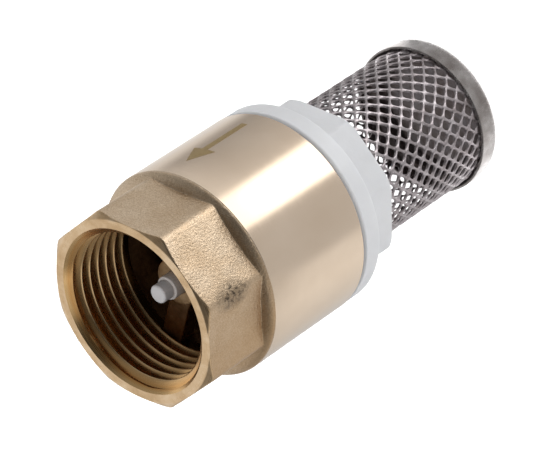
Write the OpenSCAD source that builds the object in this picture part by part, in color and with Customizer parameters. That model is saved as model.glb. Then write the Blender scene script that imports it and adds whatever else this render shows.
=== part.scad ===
// Foot valve, G 3/4: a spring-loaded check valve in a forged brass body, with a strainer screwed in below.
// It stands on its strainer cap with the outlet thread up. Lengths are millimetres and angles are degrees.

/* [Pipe thread] */
// Major diameter of the pipe thread
thread_major_d = 26.44; // [26.3:0.02:26.6]
// Minor diameter of the pipe thread
thread_minor_d = 24.12; // [24.0:0.02:24.3]
// Pitch of the pipe thread
thread_pitch = 1.814; // [1.8:0.001:1.83]
// Number of full turns in the outlet
outlet_turns = 5; // [3:1:5]
// Number of full turns on the strainer collar
collar_turns = 3; // [2:1:3]
// Radial play between the male and female thread
thread_play = 0.1; // [0.05:0.01:0.2]

/* [Brass body] */
// Distance across the flats of the wrench octagon
octagon_af = 30; // [29.5:0.1:30.5]
// Height from the turned barrel to the outlet face
neck_h = 12.75; // [12.5:0.05:13.5]
// Diameter of the turned barrel
barrel_d = 33.8; // [33.4:0.1:34.4]
// Height of the turned barrel
barrel_h = 20.8; // [20.6:0.1:22]
// Small chamfer on the turned edges
edge_chamfer = 0.3; // [0.1:0.1:0.5]
// Diameter of the chamber around the poppet
chamber_d = 28.4; // [28:0.1:28.6]
// Diameter of the pocket that holds the seat body
pocket_d = 30; // [29.6:0.1:30.4]

/* [Spider] */
// Number of arms that carry the hub
arm_count = 3; // [2:1:4]
// Width of an arm
arm_w = 3.8; // [3:0.1:4.5]
// Thickness of an arm along the flow
arm_h = 3; // [2.5:0.1:3.2]
// Diameter of the hub
hub_d = 7.6; // [7:0.1:8]
// Direction of the first arm
arm_angle = -45; // [-180:5:180]

/* [Poppet] */
// Diameter of the water way through the seat
seat_d = 17.2; // [16:0.1:18]
// Diameter of the poppet disc
disc_d = 21.2; // [20.6:0.1:22]
// Diameter of the guide stem
stem_d = 3.8; // [3.4:0.1:4.2]
// Radial running clearance of the stem in the hub
stem_play = 0.07; // [0.03:0.01:0.1]
// Diameter of the pilot tip of the stem
tip_d = 3; // [2.4:0.1:3.6]
// Depth of the stem's tip below the outlet face when shut
tip_depth = 5.7; // [5:0.1:7]
// Thickness of the rubber disc
seal_t = 1; // [0.8:0.1:1.2]
// Height that the poppet lifts
lift = 4.5; // [3.5:0.1:4.6]

/* [Spring] */
// Diameter of the spring wire
wire_d = 0.45; // [0.3:0.05:0.5]
// Mean diameter of the spring
spring_d = 9.2; // [9:0.1:10]
// Number of turns
spring_turns = 4.5; // [3.5:0.5:4.5]

/* [Strainer] */
// Height of the collar's round flange
flange_h = 3.7; // [3:0.1:4.5]
// Diameter of the collar's round flange
flange_d = 33.6; // [33:0.1:34]
// Distance across the flats of the collar's octagon
collar_af = 27.2; // [26.8:0.1:28]
// Height of the collar's octagon
collar_oct_h = 7.05; // [6:0.05:8]
// Bore of the collar
collar_bore_d = 20; // [19:0.1:21]
// Outer diameter of the mesh sleeve
mesh_d = 24.2; // [23.8:0.1:24.2]
// Thickness of the mesh sleeve
mesh_t = 0.8; // [0.6:0.1:1]
// Free length of mesh between the collar and the cap
mesh_free_h = 24; // [20:0.5:30]
// Windows around the sleeve
mesh_columns = 20; // [12:2:24]
// Rows of windows up the sleeve
mesh_rows = 9; // [5:2:11]
// Width of a mesh strand
strand_w = 1; // [0.8:0.1:1.4]
// Outer diameter of the cap's skirt
cap_d = 25.2; // [25.2:0.1:26]
// Height of the cap
cap_h = 4.1; // [3.5:0.1:5]
// Thickness of the cap's sheet
cap_t = 0.45; // [0.4:0.05:0.5]
// Outer radius of the cap's rounded edge
cap_edge_r = 1.8; // [1.2:0.1:2.2]

/* [Hidden] */
$fn = 96;
slack = 0.05;
over = 1;
octagon_sides = 8;

// Heights of the stacked parts, from the cap's underside up
collar_z = cap_h + mesh_free_h;
flange_z = collar_z + collar_oct_h;
barrel_z = flange_z + flange_h;
neck_z = barrel_z + barrel_h;
face_z = neck_z + neck_h;

// The thread form: 55 degree flanks with equal flats on crest and root
major_r = thread_major_d / 2;
minor_r = thread_minor_d / 2;
flank_h = (major_r - minor_r) * tan(55 / 2);
land_h = thread_pitch / 2 - flank_h;
tooth_h = 2 * flank_h + land_h;
mouth_r = major_r + 0.38;
mouth_h = (mouth_r - minor_r) * 0.68;
outlet_thread_z = face_z - mouth_h - 0.15 - outlet_turns * thread_pitch - tooth_h;
runout_h = 1;

// The neck: a wrench octagon over a shoulder that falls away to the barrel's edge
octagon_corner_r = octagon_af / 2 / cos(180 / octagon_sides);
chamfer_slope = 0.58;
shoulder_h = 1.15;
shoulder_edge_h = 0.5;
shoulder_edge_w = 0.5;

// The spider hangs below the outlet thread
arm_z = face_z - 14.8;
hub_top_z = face_z - 10;
hub_foot_z = arm_z - 1;
hub_foot_d = hub_d - 0.4;
chamber_top_z = arm_z - 0.5;
arm_root_r = minor_r + over;

// The seat body fills the pocket, and its raised rim meets the seal
seat_body_z = face_z - 24.9;
rim_h = 1;
rim_w = 1.2;
seat_z = seat_body_z + rim_h;
seat_floor_z = seat_body_z - 1.1;
inlet_first_tooth_z = barrel_z + mouth_h + 0.2;
inlet_turns = 3;

// The poppet stands shut with its seal just clear of the rim
seal_gap = 0.1;
seal_z = seat_z + seal_gap;
disc_z = seal_z + seal_t;
disc_h = 2;
pocket_floor_h = 0.8;
spring_pocket_r = 5.9;
tip_z = face_z - tip_depth;
tip_h = 2.1;
tip_chamfer = 0.35;
boss_d = 5.8;
boss_h = 4.4;
seal_d = disc_d - 0.4;

// The retainer clips on the boss, and its fins slide in the seat
washer_d = seat_d - 1.2;
washer_t = 1.2;
fin_r = seat_d / 2 - 0.3;
fin_h = 4.5;
fin_t = 1.2;
fin_count = 3;
retainer_hub_d = boss_d + 2.4;

// The spring runs from the poppet's pocket to the underside of the arms
spring_z0 = disc_z + pocket_floor_h;
spring_z1 = arm_z;
spring_sides = 8;
spring_steps = 20;
dead_turns = 0.75;

// The collar: male thread above, flange, octagon and mesh socket
collar_top_z = barrel_z + 6.6;
collar_first_tooth_z = inlet_first_tooth_z + thread_pitch / 2;
flange_chamfer = 0.6;
collar_corner_r = collar_af / 2 / cos(180 / octagon_sides);
socket_z = flange_z + 1.1;
socket_r = mesh_d / 2 + slack;

// The mesh sleeve starts where the cap's wall becomes straight and reaches into the socket
mesh_r = mesh_d / 2;
mesh_z = cap_edge_r;
mesh_top_z = socket_z - slack;
window_w = PI * mesh_d / mesh_columns - strand_w;
row_pitch = (mesh_free_h - strand_w) / (mesh_rows + 1);
window_h = 2 * row_pitch - strand_w;

// Points of an arc of radius r about a centre, from one angle to another
function arc(centre, r, from, to, steps = 6) =
    [for (i = [0:steps]) let (a = from + (to - from) * i / steps) centre + r * [cos(a), sin(a)]];

// Teeth of a ring thread in profile, rising from z: each goes root, crest, crest, root
function teeth(z, turns, root_r, crest_r) =
    [for (i = [0:turns - 1]) let (t = z + i * thread_pitch)
        each [[root_r, t], [crest_r, t + flank_h], [crest_r, t + flank_h + land_h], [root_r, t + tooth_h]]];

// Height of the spring's centre line after t turns, with closed turns at both ends
function coil_z(t) =
    let (z0 = spring_z0 + wire_d / 2, z1 = spring_z1 - wire_d / 2, last = spring_turns - dead_turns)
    t < dead_turns ? z0 + wire_d * t / spring_turns
    : t > last ? z1 - wire_d * (spring_turns - t) / spring_turns
    : let (a = coil_z(dead_turns - 0.001), b = coil_z(last + 0.001))
        a + (b - a) * (t - dead_turns) / (last - dead_turns);

// One ring of points around the spring wire after t turns
function coil_ring(t) =
    [for (i = [0:spring_sides - 1]) let (
            side = 360 * i / spring_sides,
            reach = spring_d / 2 + wire_d / 2 * cos(side))
        [reach * cos(360 * t), reach * sin(360 * t), coil_z(t) + wire_d / 2 * sin(side)]];

module solid_of(profile) {
    rotate_extrude()
        polygon(profile);
}

module octagon(corner_r, h) {
    rotate(180 / octagon_sides)
        cylinder(r = corner_r, h = h, $fn = octagon_sides);
}

// The wrench octagon, its front corners cut by a cone, standing on the shoulder
module neck_outside() {
    intersection() {
        translate([0, 0, neck_z])
            octagon(octagon_corner_r, neck_h);
        solid_of([
            [0, neck_z - over],
            [barrel_d, neck_z - over],
            [barrel_d, face_z - (barrel_d - octagon_af / 2) * chamfer_slope],
            [octagon_af / 2, face_z],
            [0, face_z]]);
    }
    solid_of([
        [0, neck_z - over],
        [barrel_d / 2 - edge_chamfer, neck_z - over],
        [barrel_d / 2 - edge_chamfer, neck_z],
        [barrel_d / 2 - shoulder_edge_w, neck_z + shoulder_edge_h],
        [octagon_af / 2 - over, neck_z + shoulder_h],
        [0, neck_z + shoulder_h]]);
}

module barrel_outside() {
    solid_of([
        [0, barrel_z],
        [barrel_d / 2 - edge_chamfer, barrel_z],
        [barrel_d / 2, barrel_z + edge_chamfer],
        [barrel_d / 2, neck_z - edge_chamfer],
        [barrel_d / 2 - edge_chamfer, neck_z],
        [0, neck_z]]);
}

// The way through the outlet body: pocket, chamber, throat, thread and mouth
module outlet_void() {
    solid_of(concat(
        [[0, barrel_z - over],
            [pocket_d / 2, barrel_z - over],
            [pocket_d / 2, seat_body_z],
            [chamber_d / 2, seat_body_z],
            [chamber_d / 2, chamber_top_z - (chamber_d / 2 - minor_r) / 2],
            [minor_r, chamber_top_z],
            [minor_r, outlet_thread_z - runout_h],
            [major_r, outlet_thread_z - runout_h + flank_h]],
        teeth(outlet_thread_z, outlet_turns + 1, major_r, minor_r),
        [[major_r, face_z - (mouth_r - major_r) * 0.68],
            [mouth_r, face_z],
            [mouth_r, face_z + over],
            [0, face_z + over]]));
}

module spider() {
    difference() {
        union() {
            translate([0, 0, hub_foot_z])
                cylinder(d = hub_foot_d, h = hub_top_z - hub_foot_z - 0.5);
            translate([0, 0, arm_z])
                cylinder(d = hub_d, h = hub_top_z - arm_z - edge_chamfer);
            translate([0, 0, hub_top_z - edge_chamfer])
                cylinder(d1 = hub_d, d2 = hub_d - 2 * edge_chamfer, h = edge_chamfer);
            for (i = [0:arm_count - 1])
                rotate(arm_angle + 360 * i / arm_count)
                    translate([0, -arm_w / 2, arm_z])
                        cube([arm_root_r, arm_w, arm_h]);
        }
        translate([0, 0, hub_foot_z - over])
            cylinder(d = stem_d + 2 * stem_play, h = hub_top_z - hub_foot_z + 2 * over);
    }
}

module outlet_body() {
    color("darkgoldenrod") {
        difference() {
            union() {
                neck_outside();
                barrel_outside();
            }
            outlet_void();
        }
        spider();
    }
}

module seat_body() {
    rim_r = seat_d / 2 + rim_w;
    bevel = 0.2;
    color("goldenrod")
        solid_of(concat(
            [[seat_d / 2, seat_floor_z],
                [seat_d / 2, seat_z],
                [rim_r - bevel, seat_z],
                [rim_r, seat_z - bevel],
                [rim_r, seat_body_z],
                [pocket_d / 2 - slack, seat_body_z],
                [pocket_d / 2 - slack, barrel_z],
                [mouth_r, barrel_z],
                [major_r, barrel_z + (mouth_r - major_r) * 0.68]],
            teeth(inlet_first_tooth_z, inlet_turns, major_r, minor_r),
            [[major_r, seat_floor_z]]));
}

module poppet() {
    color("white")
        solid_of([
            [0, seal_z + seal_t - boss_h],
            [boss_d / 2 - tip_chamfer, disc_z - boss_h],
            [boss_d / 2, disc_z - boss_h + tip_chamfer],
            [boss_d / 2, disc_z],
            [disc_d / 2, disc_z],
            [disc_d / 2, disc_z + disc_h - edge_chamfer],
            [disc_d / 2 - edge_chamfer, disc_z + disc_h],
            [spring_pocket_r, disc_z + disc_h],
            [spring_pocket_r, disc_z + pocket_floor_h],
            [stem_d / 2, disc_z + pocket_floor_h],
            [stem_d / 2, tip_z - tip_h - tip_chamfer],
            [stem_d / 2 - tip_chamfer, tip_z - tip_h],
            [tip_d / 2, tip_z - tip_h],
            [tip_d / 2, tip_z - tip_chamfer],
            [tip_d / 2 - tip_chamfer, tip_z],
            [0, tip_z]]);
}

module poppet_seal() {
    bevel = 0.15;
    color("dimgray")
        solid_of([
            [boss_d / 2 + slack, seal_z],
            [seal_d / 2 - bevel, seal_z],
            [seal_d / 2, seal_z + bevel],
            [seal_d / 2, disc_z],
            [boss_d / 2 + slack, disc_z]]);
}

module seal_retainer() {
    washer_z = seal_z - washer_t;
    color("ivory")
        difference() {
            union() {
                translate([0, 0, washer_z])
                    cylinder(d = washer_d, h = washer_t);
                translate([0, 0, washer_z - fin_h / 2])
                    cylinder(d = retainer_hub_d, h = fin_h / 2 + washer_t / 2);
                for (i = [0:fin_count - 1])
                    rotate(360 * i / fin_count)
                        translate([0, -fin_t / 2, washer_z - fin_h])
                            cube([fin_r, fin_t, fin_h + washer_t / 2]);
            }
            translate([0, 0, washer_z - fin_h - over])
                cylinder(d = boss_d + 2 * slack, h = fin_h + washer_t + 2 * over);
        }
}

module return_spring() {
    steps = spring_turns * spring_steps;
    points = [for (i = [0:steps]) each coil_ring(i / spring_steps)];
    first = [for (j = [0:spring_sides - 1]) j];
    last = [for (j = [spring_sides - 1:-1:0]) steps * spring_sides + j];
    skin = [for (i = [0:steps - 1]) for (j = [0:spring_sides - 1])
        let (k = (j + 1) % spring_sides, a = i * spring_sides, b = a + spring_sides)
            [a + k, a + j, b + j, b + k]];
    color("lightsteelblue")
        polyhedron(points, concat([first, last], skin));
}

// Outside of the collar's round parts, from the flange up to the end of the male thread
module collar_top_outside() {
    crest_r = major_r - thread_play;
    root_r = minor_r - thread_play;
    solid_of(concat(
        [[0, flange_z],
            [flange_d / 2 - edge_chamfer, flange_z],
            [flange_d / 2, flange_z + edge_chamfer],
            [flange_d / 2, barrel_z - flange_chamfer],
            [flange_d / 2 - flange_chamfer, barrel_z],
            [root_r, barrel_z]],
        teeth(collar_first_tooth_z, collar_turns, root_r, crest_r),
        [[root_r, collar_top_z - flange_chamfer],
            [root_r - flange_chamfer, collar_top_z],
            [0, collar_top_z]]));
}

// The collar's octagon, its lower corners cut by a cone
module collar_octagon() {
    cone_h = 2.4;
    intersection() {
        translate([0, 0, collar_z])
            octagon(collar_corner_r, collar_oct_h + over);
        solid_of([
            [0, collar_z],
            [collar_af / 2, collar_z],
            [collar_corner_r + slack, collar_z + cone_h],
            [collar_corner_r + slack, flange_z + over],
            [0, flange_z + over]]);
    }
}

module strainer_collar() {
    color("whitesmoke")
        difference() {
            union() {
                collar_top_outside();
                collar_octagon();
            }
            solid_of([
                [0, collar_z - over],
                [socket_r, collar_z - over],
                [socket_r, socket_z],
                [collar_bore_d / 2, socket_z],
                [collar_bore_d / 2, collar_top_z + over],
                [0, collar_top_z + over]]);
        }
}

// One row of diamond windows, cut right through the sleeve in opposite pairs
module window_row(turn) {
    for (i = [0:mesh_columns / 2 - 1])
        rotate(turn + 360 * i / mesh_columns)
            rotate([90, 0, 0])
                linear_extrude(mesh_d + 2 * over, center = true)
                    polygon([[window_w / 2, 0], [0, window_h / 2], [-window_w / 2, 0], [0, -window_h / 2]]);
}

module strainer_mesh() {
    color("silver")
        difference() {
            translate([0, 0, mesh_z])
                cylinder(r = mesh_r, h = mesh_top_z - mesh_z);
            translate([0, 0, mesh_z - over])
                cylinder(r = mesh_r - mesh_t, h = mesh_top_z - mesh_z + 2 * over);
            for (row = [1:mesh_rows])
                translate([0, 0, cap_h + strand_w / 2 + row * row_pitch])
                    window_row((row % 2) * 180 / mesh_columns);
        }
}

module strainer_cap() {
    outer = [cap_d / 2 - cap_edge_r, cap_edge_r];
    color("lightslategray")
        solid_of(concat(
            [[0, 0]],
            arc(outer, cap_edge_r, -90, 0),
            [[cap_d / 2, cap_h], [cap_d / 2 - cap_t, cap_h]],
            arc(outer, cap_edge_r - cap_t, 0, -90),
            [[0, cap_t]]));
}

outlet_body();
seat_body();
poppet();
poppet_seal();
seal_retainer();
return_spring();
strainer_collar();
strainer_mesh();
strainer_cap();
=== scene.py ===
"""Looks of a G 3/4 foot valve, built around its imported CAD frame.

Lengths are metres and angles are radians, unless a comment says otherwise.
"""
import math

import bmesh
import bpy
import numpy as np
from mathutils import Matrix, Vector

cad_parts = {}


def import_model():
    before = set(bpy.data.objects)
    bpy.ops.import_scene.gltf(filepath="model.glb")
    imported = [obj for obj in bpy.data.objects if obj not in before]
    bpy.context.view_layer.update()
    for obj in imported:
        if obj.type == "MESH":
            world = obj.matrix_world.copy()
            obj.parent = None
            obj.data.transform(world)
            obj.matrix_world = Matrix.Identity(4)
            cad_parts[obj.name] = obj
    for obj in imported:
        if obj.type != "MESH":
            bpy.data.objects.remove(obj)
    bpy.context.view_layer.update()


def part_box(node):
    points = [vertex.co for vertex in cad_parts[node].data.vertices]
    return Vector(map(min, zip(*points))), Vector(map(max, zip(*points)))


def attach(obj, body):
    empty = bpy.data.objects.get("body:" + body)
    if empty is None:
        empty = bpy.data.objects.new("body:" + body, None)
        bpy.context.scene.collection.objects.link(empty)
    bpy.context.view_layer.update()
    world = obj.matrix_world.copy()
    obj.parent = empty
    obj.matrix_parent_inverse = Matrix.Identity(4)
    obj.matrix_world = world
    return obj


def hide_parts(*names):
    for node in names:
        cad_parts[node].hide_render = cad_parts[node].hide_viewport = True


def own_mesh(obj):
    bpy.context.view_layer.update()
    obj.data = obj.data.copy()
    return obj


MM = 0.001
TURN = 2 * math.pi

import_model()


# ---- Sizes, read from the frame where it has them ----

# Pipe thread, and the two octagons across their flats
PITCH = 1.814 * MM
MAJOR_R = 13.22 * MM
MINOR_R = 12.06 * MM
OCTAGON_AF = 30 * MM
COLLAR_AF = 27.2 * MM

BODY_LOW, BODY_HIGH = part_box("outlet_body")
FACE_Z = BODY_HIGH.z
BARREL_Z = BODY_LOW.z
BARREL_R = BODY_HIGH.x
NECK_Z = FACE_Z - 12.75 * MM
MOUTH_R = 13.6 * MM
ARM_Z = FACE_Z - 14.8 * MM
HUB_TOP_Z = FACE_Z - 10 * MM
SEAT_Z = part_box("seat_body")[1].z
COLLAR_LOW, COLLAR_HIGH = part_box("strainer_collar")
MESH_LOW, MESH_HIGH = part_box("strainer_mesh")
CAP_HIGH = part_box("strainer_cap")[1]
POPPET_LOW, POPPET_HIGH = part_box("poppet")
SPRING_LOW, SPRING_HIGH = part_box("return_spring")


# ---- Mesh helpers ----

def new_object(name, verts, faces, materials, face_slots=None, smooth_angle=32):
    """A closed mesh object with outward normals, smooth except at sharp edges."""
    mesh = bpy.data.meshes.new(name)
    mesh.from_pydata([tuple(v) for v in verts], [], [tuple(f) for f in faces])
    for m in materials:
        mesh.materials.append(m)
    if face_slots is not None:
        mesh.polygons.foreach_set("material_index", np.asarray(face_slots, dtype=np.int32))
    obj = bpy.data.objects.new(name, mesh)
    bpy.context.scene.collection.objects.link(obj)
    tidy(obj)
    shade(obj, smooth_angle)
    return obj


def tidy(obj, near=1e-7):
    """Joins doubled points, drops faces with no area and turns normals outward."""
    bm = bmesh.new()
    bm.from_mesh(obj.data)
    bmesh.ops.remove_doubles(bm, verts=bm.verts, dist=near)
    bmesh.ops.dissolve_degenerate(bm, edges=bm.edges, dist=near)
    loose = [v for v in bm.verts if not v.link_faces]
    bmesh.ops.delete(bm, geom=loose, context="VERTS")
    bmesh.ops.recalc_face_normals(bm, faces=bm.faces)
    bm.to_mesh(obj.data)
    bm.free()


def shade(obj, angle):
    """Smooth shading that breaks at edges sharper than the angle in degrees."""
    obj.data.polygons.foreach_set("use_smooth", np.ones(len(obj.data.polygons), dtype=bool))
    obj.data.set_sharp_from_angle(angle=math.radians(angle))


def rounded(profile, radii, steps=5):
    """A profile of (r, z) points with each corner turned into an arc of its radius, where one is given."""
    points = [np.array(p, float) for p in profile]
    out = []
    n = len(points)
    for i, p in enumerate(points):
        radius = radii.get(i, 0)
        a, b = points[i - 1] - p, points[(i + 1) % n] - p
        la, lb = np.linalg.norm(a), np.linalg.norm(b)
        if radius <= 0 or la < 1e-9 or lb < 1e-9:
            out.append(p)
            continue
        a, b = a / la, b / lb
        half = math.acos(max(-1, min(1, float(a @ b)))) / 2
        cut = min(radius / math.tan(half), 0.49 * la, 0.49 * lb)
        real = cut * math.tan(half)
        middle = a + b
        middle = middle / np.linalg.norm(middle)
        centre = p + middle * (real / math.sin(half))
        start = p + a * cut - centre
        sweep = math.pi - 2 * half
        side = math.copysign(1, start[0] * (p + b * cut - centre)[1] - start[1] * (p + b * cut - centre)[0])
        for k in range(steps + 1):
            t = side * sweep * k / steps
            c, s = math.cos(t), math.sin(t)
            out.append(centre + np.array([start[0] * c - start[1] * s, start[0] * s + start[1] * c]))
    return out


def lathe(name, profile, radii, materials, segments=160, smooth_angle=32, closed=True, slot_of=None):
    """Turns a profile of (r, z) points about Z. Points on the axis become one point."""
    points = rounded(profile, radii)
    verts, rings = [], []
    for r, z in points:
        if r < 1e-8:
            rings.append([len(verts)] * segments)
            verts.append((0, 0, z))
        else:
            rings.append(list(range(len(verts), len(verts) + segments)))
            verts += [(r * math.cos(TURN * k / segments), r * math.sin(TURN * k / segments), z)
                      for k in range(segments)]
    faces, slots = [], []
    pairs = list(zip(rings, rings[1:])) + ([(rings[-1], rings[0])] if closed else [])
    ends = list(zip(points, points[1:])) + ([(points[-1], points[0])] if closed else [])
    for (low, high), (p, q) in zip(pairs, ends):
        for k in range(segments):
            j = (k + 1) % segments
            face = list(dict.fromkeys([low[k], low[j], high[j], high[k]]))
            if len(face) > 2:
                faces.append(face)
                slots.append(slot_of((p + q) / 2) if slot_of else 0)
    return new_object(name, verts, faces, materials, slots, smooth_angle)


def soft_max(a, b, k):
    """The larger of two lengths, with a fillet of about k where they meet."""
    h = np.clip(0.5 + 0.5 * (a - b) / k, 0, 1)
    return b * (1 - h) + a * h + k * h * (1 - h)


def soft_min(a, b, k):
    """The smaller of two lengths, with a rounding of about k where they meet."""
    return -soft_max(-a, -b, k)


def octagon_radius(angle, af, edge_round):
    """Polar radius of an octagon with flats on the axes and slightly rounded edges."""
    r = np.full_like(angle, 10.0)
    for i in range(8):
        c = np.cos(angle - i * TURN / 8)
        flat = np.where(c > 0.3, af / 2 / np.maximum(c, 0.3), 10.0)
        r = np.where(np.abs(r - flat) < 1, soft_min(r, flat, edge_round), np.minimum(r, flat))
    return r


def join_pieces(name, parts):
    """One object from several, with all their materials."""
    bpy.ops.object.select_all(action="DESELECT")
    for p in parts:
        p.select_set(True)
    bpy.context.view_layer.objects.active = parts[0]
    bpy.ops.object.join()
    parts[0].name = name
    parts[0].data.name = name
    return parts[0]


# ---- Material helpers ----

def new_material(name):
    """A new node material, with its tree and its Principled shader."""
    m = bpy.data.materials.new(name)
    m.use_nodes = True
    return m, m.node_tree, m.node_tree.nodes["Principled BSDF"]


def set_input(tree, socket, value):
    """Links an input to a node's output, or gives it a plain value."""
    if isinstance(value, bpy.types.NodeSocket):
        tree.links.new(value, socket)
    else:
        socket.default_value = value


def node(tree, kind, inputs=None, **settings):
    """One node, with settings as attributes and inputs set by name or number."""
    n = tree.nodes.new(kind)
    for key, value in settings.items():
        setattr(n, key, value)
    for key, value in (inputs or {}).items():
        set_input(tree, n.inputs[key], value)
    return n


def maths(tree, operation, a, b):
    """The result of one Math node."""
    return node(tree, "ShaderNodeMath", {0: a, 1: b}, operation=operation).outputs[0]


def vector_maths(tree, operation, a, b):
    """The vector that one Vector Math node gives."""
    return node(tree, "ShaderNodeVectorMath", {0: a, 1: b}, operation=operation).outputs["Vector"]


def length_of(tree, vector):
    """The length of a vector."""
    return node(tree, "ShaderNodeVectorMath", {0: vector}, operation="LENGTH").outputs["Value"]


def along(tree, vector, side):
    """How far a vector reaches towards a side: their dot product."""
    n = node(tree, "ShaderNodeVectorMath", {0: vector, 1: side}, operation="DOT_PRODUCT")
    return n.outputs["Value"]


def place(tree):
    """The point on the object in millimetres, which moves with the piece."""
    metres = node(tree, "ShaderNodeTexCoord").outputs["Object"]
    scaled = node(tree, "ShaderNodeVectorMath", {0: metres, "Scale": 1 / MM}, operation="SCALE")
    return scaled.outputs["Vector"]


def noise(tree, where, scale, detail=2.0, roughness=0.5, stretch=None):
    """Noise from 0 to 1 with features about 1/scale millimetres across."""
    if stretch:
        where = vector_maths(tree, "MULTIPLY", where, stretch)
    inputs = {"Vector": where, "Scale": scale, "Detail": detail, "Roughness": roughness}
    return node(tree, "ShaderNodeTexNoise", inputs).outputs["Fac"]


def ramp(tree, value, stops):
    """A colour ramp over a value. Each stop is (position, colour)."""
    n = node(tree, "ShaderNodeValToRGB", {"Fac": value})
    elements = n.color_ramp.elements
    while len(elements) < len(stops):
        elements.new(0.5)
    for element, (position, colour) in zip(elements, stops):
        element.position = position
        element.color = (*colour, 1)
    return n.outputs["Color"]


def levels(tree, value, low, high, to_low=0.0, to_high=1.0):
    """A value spread from one range to another, kept inside the new one."""
    return node(tree, "ShaderNodeMapRange", {"Value": value, "From Min": low, "From Max": high,
                                             "To Min": to_low, "To Max": to_high}).outputs["Result"]


def blend_colours(tree, share, a, b):
    """Colour a at share 0 and colour b at share 1. Each is three numbers or a node's output."""
    n = node(tree, "ShaderNodeMix", {0: share}, data_type="RGBA")
    # A Mix node that mixes colours takes them at inputs 6 and 7, and gives its result at output 2.
    for key, colour in ((6, a), (7, b)):
        set_input(tree, n.inputs[key], (*colour, 1) if isinstance(colour, tuple) else colour)
    return n.outputs[2]


def bump(tree, shader, layers):
    """Bumps stacked on the shader. Each layer is (height, depth in millimetres)."""
    normal = None
    for height, depth in layers:
        inputs = {"Height": height, "Strength": 1.0, "Distance": depth * MM}
        if normal is not None:
            inputs["Normal"] = normal
        normal = node(tree, "ShaderNodeBump", inputs).outputs["Normal"]
    tree.links.new(normal, shader.inputs["Normal"])


def coat(tree, shader, colour, roughness, metallic=1.0):
    """Gives the shader its colour, its roughness and its share of metal."""
    set_input(tree, shader.inputs["Base Color"], colour)
    set_input(tree, shader.inputs["Roughness"], roughness)
    shader.inputs["Metallic"].default_value = metallic


def radius_of(tree, where):
    """Distance from the valve's axis in millimetres."""
    return length_of(tree, vector_maths(tree, "MULTIPLY", where, (1.0, 1.0, 0.0)))


def height_of(tree, where):
    """Height up the valve in millimetres."""
    return node(tree, "ShaderNodeSeparateXYZ", {0: where}).outputs["Z"]


# ---- Materials: noise scales are features per millimetre, and bump depths are millimetres ----

SMUDGE_AT = (-14.9, -6.3, 66.7)
SMUDGE_STRETCH = (1.0, 0.8, 0.55)
# Direction of the forging's side that gets painted shade, a darker brown
PAINTED_SHADE_SIDE = (-0.94, 0.34, 0.0)


def smudge(tree, where):
    """Share of the dark smudge on the forging: pits in a thin haze, fading from its middle."""
    from_middle = vector_maths(tree, "SUBTRACT", where, SMUDGE_AT)
    away = length_of(tree, vector_maths(tree, "MULTIPLY", from_middle, SMUDGE_STRETCH))
    near = levels(tree, away, 0.9, 2.3, 1.0, 0.0)
    pits = levels(tree, noise(tree, where, 1.5, 5.0, 0.7), 0.45, 0.6)
    pitted = maths(tree, "MULTIPLY", maths(tree, "MULTIPLY", near, pits), 0.6)
    return maths(tree, "ADD", pitted, maths(tree, "MULTIPLY", near, 0.35))


def forged_brass():
    """Sand-blasted forging: orange-peel dimples, sparkling fine grain, uneven tone, a pitted smudge and
    painted shade browning one side.
    """
    m, tree, shader = new_material("forged_brass")
    where = place(tree)
    dimples = noise(tree, where, 2.6, 2.0, 0.5)
    grain = noise(tree, where, 6.5, 2.0, 0.55)
    cloud = noise(tree, where, 0.2, 3.0, 0.55)
    tone = ramp(tree, grain, [(0.3, (0.42, 0.31, 0.20)), (0.5, (0.62, 0.48, 0.34)),
                              (0.72, (0.86, 0.72, 0.54))])
    patina = ramp(tree, cloud, [(0.35, (0.50, 0.345, 0.20)), (0.62, (0.64, 0.50, 0.355))])
    colour = blend_colours(tree, 0.44, tone, patina)
    # Painted shade: the forging is painted darker brown towards the side in this direction.
    brown = levels(tree, along(tree, where, PAINTED_SHADE_SIDE), 9.0, 17.0, 0.0, 0.75)
    colour = blend_colours(tree, brown, colour, (0.46, 0.29, 0.145))
    colour = blend_colours(tree, smudge(tree, where), colour, (0.05, 0.04, 0.03))
    coat(tree, shader, colour, levels(tree, grain, 0.3, 0.7, 0.46, 0.3))
    bump(tree, shader, [(cloud, 0.1), (dimples, 0.08), (grain, 0.045)])
    return m


def turned_brass():
    """The barrel's fine turning, in rings too fine to count, with a faint tarnish."""
    m, tree, shader = new_material("turned_brass")
    where = place(tree)
    rings = noise(tree, where, 9.0, 3.0, 0.6, stretch=(0.015, 0.015, 1.0))
    haze = noise(tree, where, 0.12, 3.0, 0.5, stretch=(1.0, 1.0, 0.6))
    colour = ramp(tree, haze, [(0.3, (0.70, 0.56, 0.425)), (0.7, (0.76, 0.62, 0.485))])
    coat(tree, shader, colour, levels(tree, rings, 0.3, 0.7, 0.15, 0.23))
    bump(tree, shader, [(rings, 0.004)])
    return m


def machined_brass():
    """Faced and chamfered brass: cloudy yellow with concentric tool marks."""
    m, tree, shader = new_material("machined_brass")
    where = place(tree)
    section = {"X": radius_of(tree, where), "Y": 0.0, "Z": height_of(tree, where)}
    marks = noise(tree, node(tree, "ShaderNodeCombineXYZ", section).outputs["Vector"], 5.0, 2.0, 0.6)
    cloud = noise(tree, where, 0.3, 4.0, 0.65)
    colour = ramp(tree, cloud, [(0.35, (0.56, 0.38, 0.21)), (0.5, (0.66, 0.47, 0.28)),
                                (0.65, (0.75, 0.565, 0.37))])
    coat(tree, shader, colour, levels(tree, marks, 0.3, 0.7, 0.24, 0.36))
    bump(tree, shader, [(marks, 0.02), (noise(tree, where, 3.0, 3.0, 0.6), 0.01)])
    return m


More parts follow.
